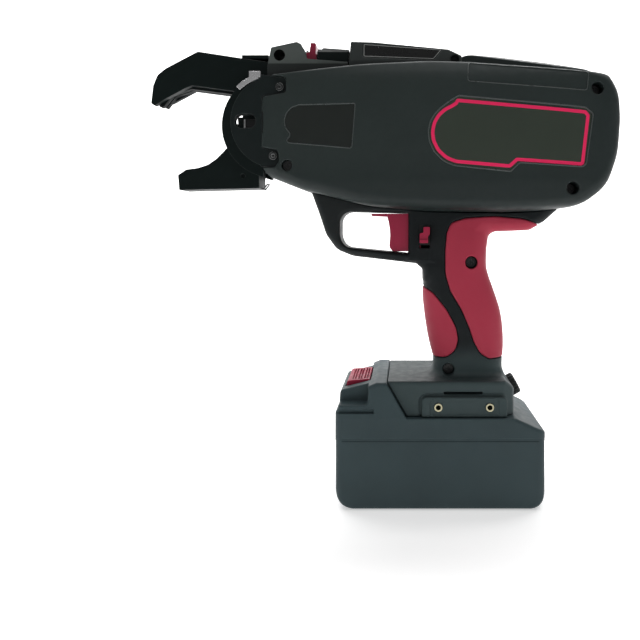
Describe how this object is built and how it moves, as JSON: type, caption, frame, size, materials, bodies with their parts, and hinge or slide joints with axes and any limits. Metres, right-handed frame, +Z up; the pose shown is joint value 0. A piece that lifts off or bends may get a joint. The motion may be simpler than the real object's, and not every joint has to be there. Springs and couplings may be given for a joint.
{
  "type": "rebar tying tool",
  "caption": "Cordless rebar tying tool with a pistol grip, curling jaw, twisting nose, side reel door and slide-on battery.",
  "frame": {"origin": "middle of the battery's base", "axes": "X along the tool with the nose at -X, Y across it with the badge side at -Y, Z up"},
  "size_m": [0.3203, 0.0839, 0.3065],
  "materials": {
    "housing": "fine moulded texture, charcoal",
    "dark_metal": "satin black coating",
    "dark_casting": "satin black coating on a casting",
    "battery_plastic": "fine moulded texture, blue grey",
    "red_plastic": "smooth moulded crimson",
    "grip": "soft matte crimson",
    "steel": "machined steel",
    "black_screw": "blackened steel",
    "brass": "turned brass",
    "board": "green circuit board",
    "cell": "sleeved cells",
    "clear": "clear moulded window",
    "badge": "gloss black plate with a crimson border",
    "reel_plastic": "moulded pale grey",
    "tie_wire": "annealed dark wire"
  },
  "bodies": {
    "housing": {"left_housing": "housing", "right_housing": "housing", "left_handle": "housing", "right_handle": "housing", "rear_grip": "grip", "front_grip": "grip", "side_badge": "badge", "top_cover": "housing", "top_window": "clear", "feed_frame": "dark_casting", "feed_cover": "housing", "feed_motor": "steel", "nose_frame": "dark_casting", "left_nose_plate": "dark_metal", "right_nose_plate": "dark_metal", "guide_strip": "steel", "arm_core": "steel", "arm_left_plate": "dark_metal", "arm_right_plate": "dark_metal", "arm_tip_insert": "dark_metal", "nose_screws": "steel", "twist_motor": "steel", "ring_gear": "steel", "reel_axle": "steel", "trigger_switch": "housing", "trigger_spring": "steel", "control_board": "board", "terminal_block": "housing", "thread_inserts": "brass", "housing_screws": "black_screw"},
    "pinion": {"feed_pinion": "brass"},
    "transfer": {"transfer_gear": "steel"},
    "feed_drive": {"feed_drive_gear": "steel"},
    "feed_idler": {"feed_idler_gear": "steel"},
    "lever": {"release_lever": "red_plastic"},
    "guide": {"lower_guide": "dark_casting", "guide_spring": "steel"},
    "sun": {"sun_pinion": "steel"},
    "planet_1": {"planet_gear_1": "brass"},
    "planet_2": {"planet_gear_2": "brass"},
    "planet_3": {"planet_gear_3": "brass"},
    "twist_head": {"hook_shaft": "steel"},
    "sleeve": {"twist_sleeve": "steel"},
    "hook_l": {"left_hook": "steel"},
    "hook_r": {"right_hook": "steel"},
    "cutter": {"cutter_lever": "steel"},
    "reel": {"wire_reel": "reel_plastic", "wire_coil": "tie_wire"},
    "door": {"reel_door": "housing", "latch_screws": "black_screw"},
    "latch": {"door_latch": "red_plastic"},
    "trigger": {"trigger": "red_plastic", "trigger_shield": "red_plastic"},
    "lock": {"trigger_lock": "red_plastic"},
    "dial": {"adjust_dial": "housing"},
    "battery": {"battery_lower_case": "battery_plastic", "battery_upper_case": "battery_plastic", "battery_cells": "cell", "battery_contacts": "brass"},
    "button": {"battery_button": "red_plastic"}
  },
  "joints": [
    {"name": "trigger_pull", "type": "slide", "parent": "housing", "child": "trigger", "axis": [1, 0, 0], "range_m": [0, 0.007], "stiffness_N_per_m": 500, "deforming": ["trigger_spring"]},
    {"name": "trigger_lock_slide", "type": "slide", "parent": "housing", "child": "lock", "axis": [0, 0, -1], "range_m": [0, 0.003]},
    {"name": "door_swing", "type": "hinge", "parent": "housing", "child": "door", "pos_m": [-0.02, 0.0406, 0.243], "axis": [0, 0, 1], "range_deg": [0, 100]},
    {"name": "latch_slide", "type": "slide", "parent": "door", "child": "latch", "axis": [0, 0, 1], "range_m": [0, 0.006]},
    {"name": "reel_spin", "type": "hinge", "parent": "housing", "child": "reel", "pos_m": [0.062, 0.02, 0.247], "axis": [0, 1, 0], "continuous": true},
    {"name": "feed_drive_spin", "type": "hinge", "parent": "housing", "child": "feed_drive", "pos_m": [-0.094, 0, 0.281], "axis": [0, 1, 0], "continuous": true},
    {"name": "feed_idler_spin", "type": "hinge", "parent": "lever", "child": "feed_idler", "pos_m": [-0.094, 0, 0.2954], "axis": [0, 1, 0], "continuous": true},
    {"name": "transfer_spin", "type": "hinge", "parent": "housing", "child": "transfer", "pos_m": [-0.08044, 0.01, 0.28584], "axis": [0, 1, 0], "continuous": true},
    {"name": "feed_pinion_spin", "type": "hinge", "parent": "housing", "child": "pinion", "pos_m": [-0.0715, 0.01, 0.295], "axis": [0, 1, 0], "continuous": true},
    {"name": "release_lever_lift", "type": "hinge", "parent": "housing", "child": "lever", "pos_m": [-0.076, 0, 0.284], "axis": [0, 1, 0], "range_deg": [0, 8], "stiffness_Nm_per_rad": 0.3},
    {"name": "twist_spin", "type": "hinge", "parent": "housing", "child": "twist_head", "pos_m": [-0.09, 0, 0.2505], "axis": [1, 0, 0], "continuous": true},
    {"name": "sun_spin", "type": "hinge", "parent": "housing", "child": "sun", "pos_m": [-0.06, 0, 0.2505], "axis": [1, 0, 0], "continuous": true},
    {"name": "planet_1_spin", "type": "hinge", "parent": "twist_head", "child": "planet_1", "pos_m": [-0.062, 0.0108, 0.2505], "axis": [1, 0, 0], "continuous": true},
    {"name": "planet_2_spin", "type": "hinge", "parent": "twist_head", "child": "planet_2", "pos_m": [-0.062, -0.0054, 0.25985], "axis": [1, 0, 0], "continuous": true},
    {"name": "planet_3_spin", "type": "hinge", "parent": "twist_head", "child": "planet_3", "pos_m": [-0.062, -0.0054, 0.24115], "axis": [1, 0, 0], "continuous": true},
    {"name": "sleeve_advance", "type": "slide", "parent": "twist_head", "child": "sleeve", "axis": [-1, 0, 0], "range_m": [0, 0.008]},
    {"name": "left_hook_close", "type": "hinge", "parent": "twist_head", "child": "hook_l", "pos_m": [-0.119, -0.0042, 0.2505], "axis": [0, 0, -1], "range_deg": [0, 9]},
    {"name": "right_hook_close", "type": "hinge", "parent": "twist_head", "child": "hook_r", "pos_m": [-0.119, 0.0042, 0.2505], "axis": [0, 0, 1], "range_deg": [0, 9]},
    {"name": "cutter_swing", "type": "hinge", "parent": "housing", "child": "cutter", "pos_m": [-0.106, 0, 0.2695], "axis": [0, -1, 0], "range_deg": [0, 20]},
    {"name": "guide_swing", "type": "hinge", "parent": "housing", "child": "guide", "pos_m": [-0.1215, 0, 0.224], "axis": [0, -1, 0], "range_deg": [0, 20], "stiffness_Nm_per_rad": 0.4},
    {"name": "dial_turn", "type": "hinge", "parent": "housing", "child": "dial", "pos_m": [0.0515, 0, 0.0705], "axis": [0.8829, 0, 0.4695], "range_deg": [-135, 135]},
    {"name": "battery_slide", "type": "slide", "parent": "housing", "child": "battery", "axis": [-1, 0, 0], "range_m": [0, 0.12]},
    {"name": "button_press", "type": "slide", "parent": "battery", "child": "button", "axis": [0, 0, -1], "range_m": [0, 0.003], "stiffness_N_per_m": 700}
  ],
  "couplings": [
    {"joint": "feed_idler_spin", "follows": "feed_drive_spin", "ratio": -1},
    {"joint": "transfer_spin", "follows": "feed_drive_spin", "ratio": -0.8},
    {"joint": "feed_pinion_spin", "follows": "feed_drive_spin", "ratio": 1.3333},
    {"joint": "sun_spin", "follows": "twist_spin", "ratio": 4.5},
    {"joint": "planet_1_spin", "follows": "twist_spin", "ratio": -2.8},
    {"joint": "planet_2_spin", "follows": "twist_spin", "ratio": -2.8},
    {"joint": "planet_3_spin", "follows": "twist_spin", "ratio": -2.8},
    {"joint": "left_hook_close", "follows": "sleeve_advance", "rad_per_m": 19.417},
    {"joint": "right_hook_close", "follows": "sleeve_advance", "rad_per_m": 19.417},
    {"joint": "cutter_swing", "follows": "sleeve_advance", "rad_per_m": 43.197}
  ]
}
